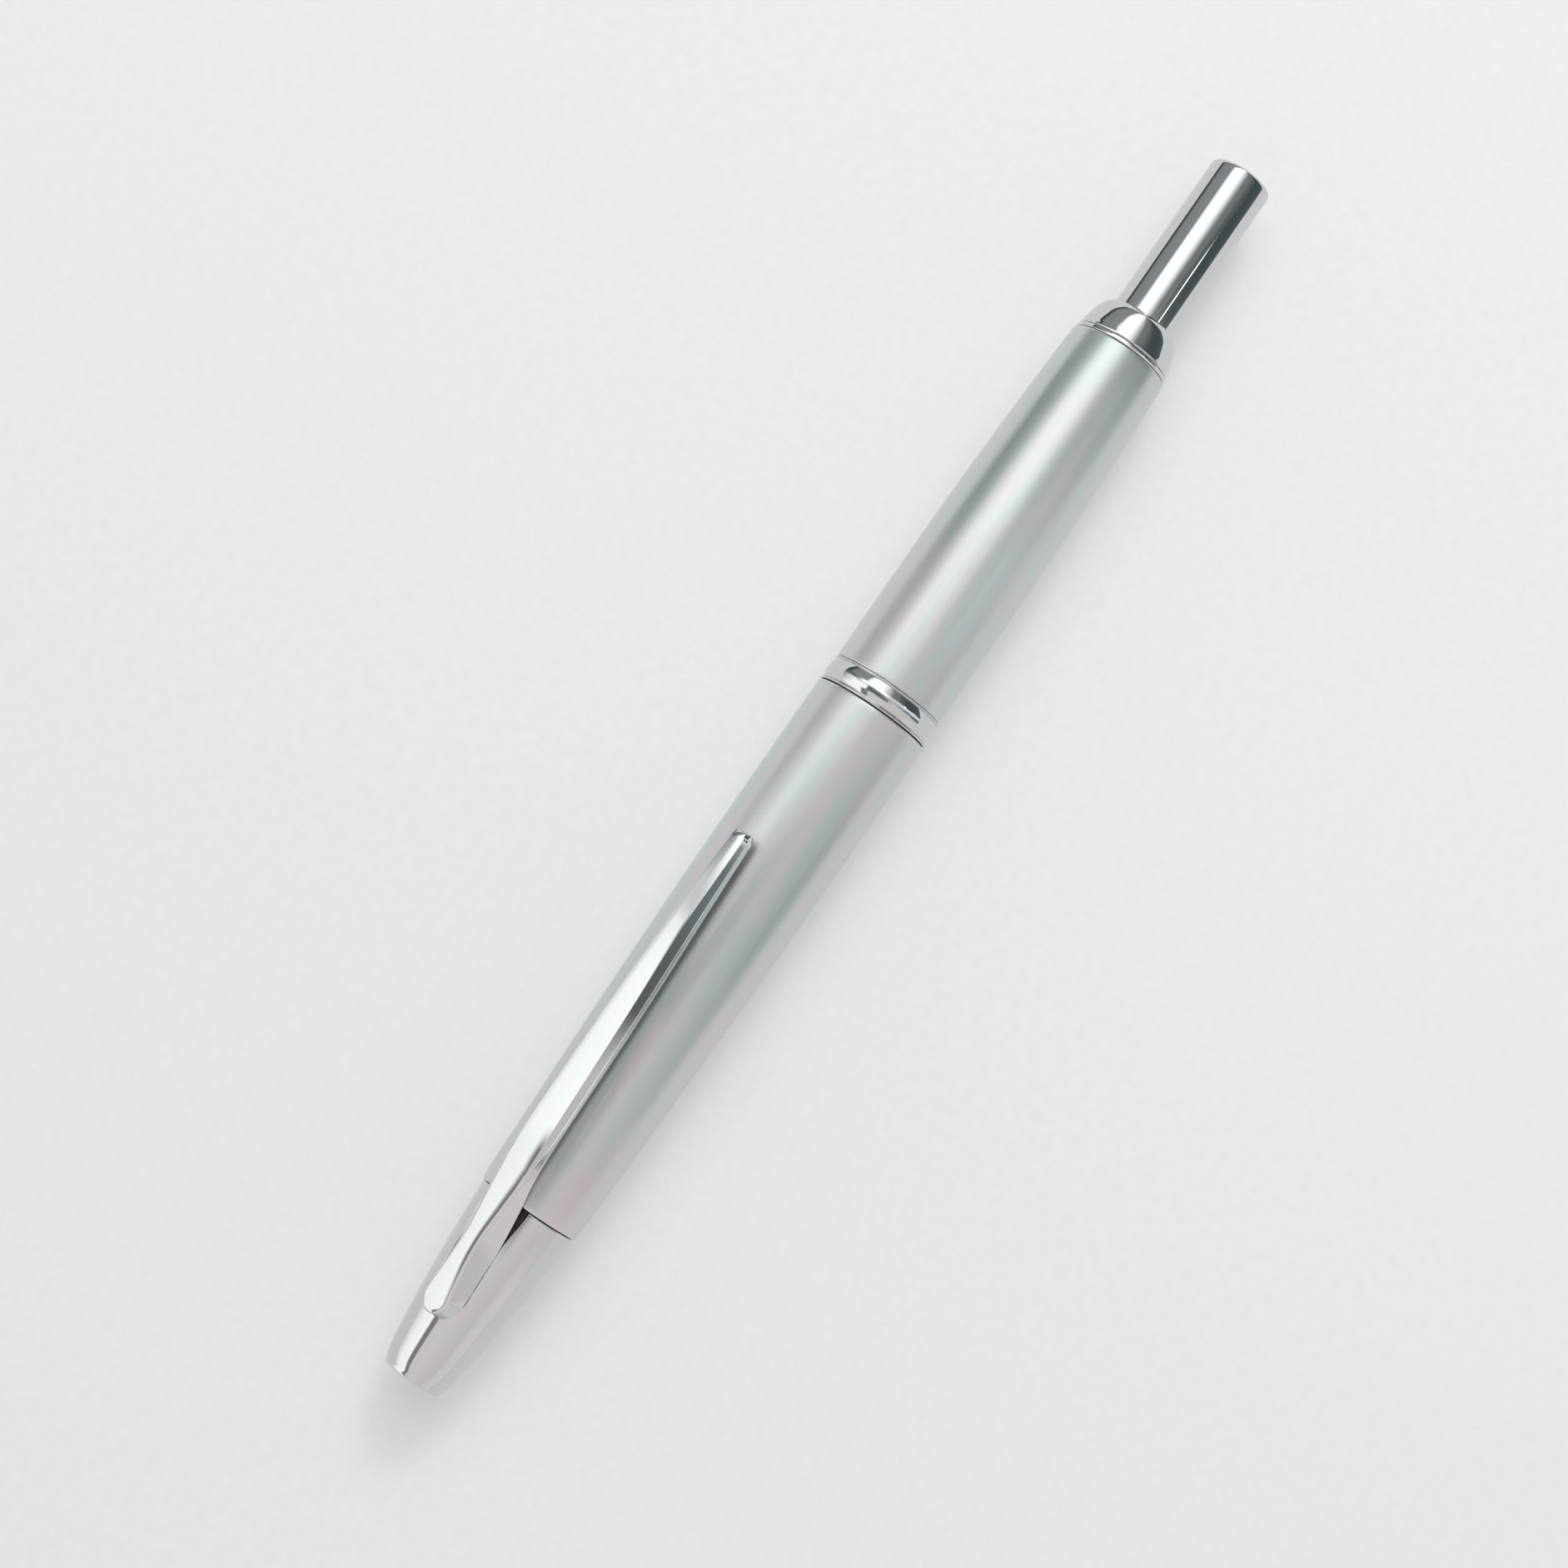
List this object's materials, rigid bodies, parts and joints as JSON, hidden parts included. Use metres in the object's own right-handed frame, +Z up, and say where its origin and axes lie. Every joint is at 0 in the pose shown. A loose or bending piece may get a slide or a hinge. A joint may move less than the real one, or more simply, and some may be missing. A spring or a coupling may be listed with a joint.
{
  "type": "retractable fountain pen",
  "caption": "Retractable pen with a satin metal barrel, chrome nose, clip, centre band and push knob. The knob drives the nib out through a trap door.",
  "frame": {"origin": "centre of the bounding box in plan, at the level of the surface that the pen lies on", "axes": "+X from the nose to the push knob, +Z up, +Y the side that the clip leans towards"},
  "size_m": [0.14, 0.012, 0.0143],
  "materials": {
    "satin_silver": "satin anodised, fine lengthwise brushing",
    "chrome": "polished",
    "rhodium": "polished",
    "steel": "plain",
    "brass": "turned",
    "black_plastic": "moulded",
    "rubber": "matt",
    "ink_plastic": "tinted"
  },
  "bodies": {
    "front_section": {"nose_cone": "chrome", "front_barrel": "satin_silver", "joint_sleeve": "black_plastic", "thread_sleeve": "brass", "shutter_frame": "black_plastic", "shutter_pin": "steel", "shutter_spring": "steel", "clip_anchor": "black_plastic", "clip_root": "chrome", "spring_stop": "steel", "return_spring": "steel"},
    "clip": {"clip": "chrome"},
    "trap_door": {"shutter_door": "steel"},
    "nib_unit": {"nib": "rhodium", "feed": "black_plastic", "nib_collar": "black_plastic", "unit_body": "steel", "ink_cartridge": "ink_plastic", "cartridge_cover": "steel"},
    "washer": {"barrel_washer": "rubber"},
    "rear_section": {"centre_band": "chrome", "rear_barrel": "satin_silver", "rear_thread_bush": "brass", "trim_ring": "chrome", "rear_collar": "chrome", "cam_guide": "black_plastic", "knob_bush": "brass"},
    "push_knob": {"knob": "chrome", "plunger": "black_plastic"},
    "rotary_cam": {"rotary_cam": "black_plastic"}
  },
  "joints": [
    {"name": "knob_push", "type": "slide", "parent": "rear_section", "child": "push_knob", "axis": [-1, 0, 0], "range_m": [0, 0.0148], "stiffness_N_per_m": 300, "springref_m": -0.005},
    {"name": "nib_slide", "type": "slide", "parent": "front_section", "child": "nib_unit", "axis": [-1, 0, 0], "range_m": [0, 0.0148], "deforming": ["return_spring"]},
    {"name": "cam_turn", "type": "hinge", "parent": "push_knob", "child": "rotary_cam", "pos_m": [0.03, 0, 0.00604], "axis": [1, 0, 0], "range_deg": [0, 60.01]},
    {"name": "shutter_open", "type": "hinge", "parent": "front_section", "child": "trap_door", "pos_m": [-0.0632, 0.00106, 0.00847], "axis": [0, 0.9171, -0.3987], "range_deg": [0, 64.01], "deforming": ["shutter_door"]},
    {"name": "clip_flex", "type": "hinge", "parent": "front_section", "child": "clip", "pos_m": [-0.04955, 0.00255, 0.01191], "axis": [0, -0.9171, 0.3987], "range_deg": [0, 4], "stiffness_Nm_per_rad": 2},
    {"name": "barrel_unscrew", "type": "hinge", "parent": "front_section", "child": "washer", "pos_m": [0.0067, 0, 0.00604], "axis": [1, 0, 0], "range_deg": [0, 1080.1]},
    {"name": "barrel_advance", "type": "slide", "parent": "washer", "child": "rear_section", "axis": [1, 0, 0], "range_m": [0, 0.003]}
  ],
  "couplings": [
    {"joint": "nib_slide", "follows": "knob_push", "ratio": 1},
    {"joint": "cam_turn", "follows": "knob_push", "rad_per_m": 70.757},
    {"joint": "shutter_open", "follows": "knob_push", "rad_per_m": 75.474},
    {"joint": "barrel_unscrew", "follows": "barrel_advance", "rad_per_m": 6283.2}
  ]
}
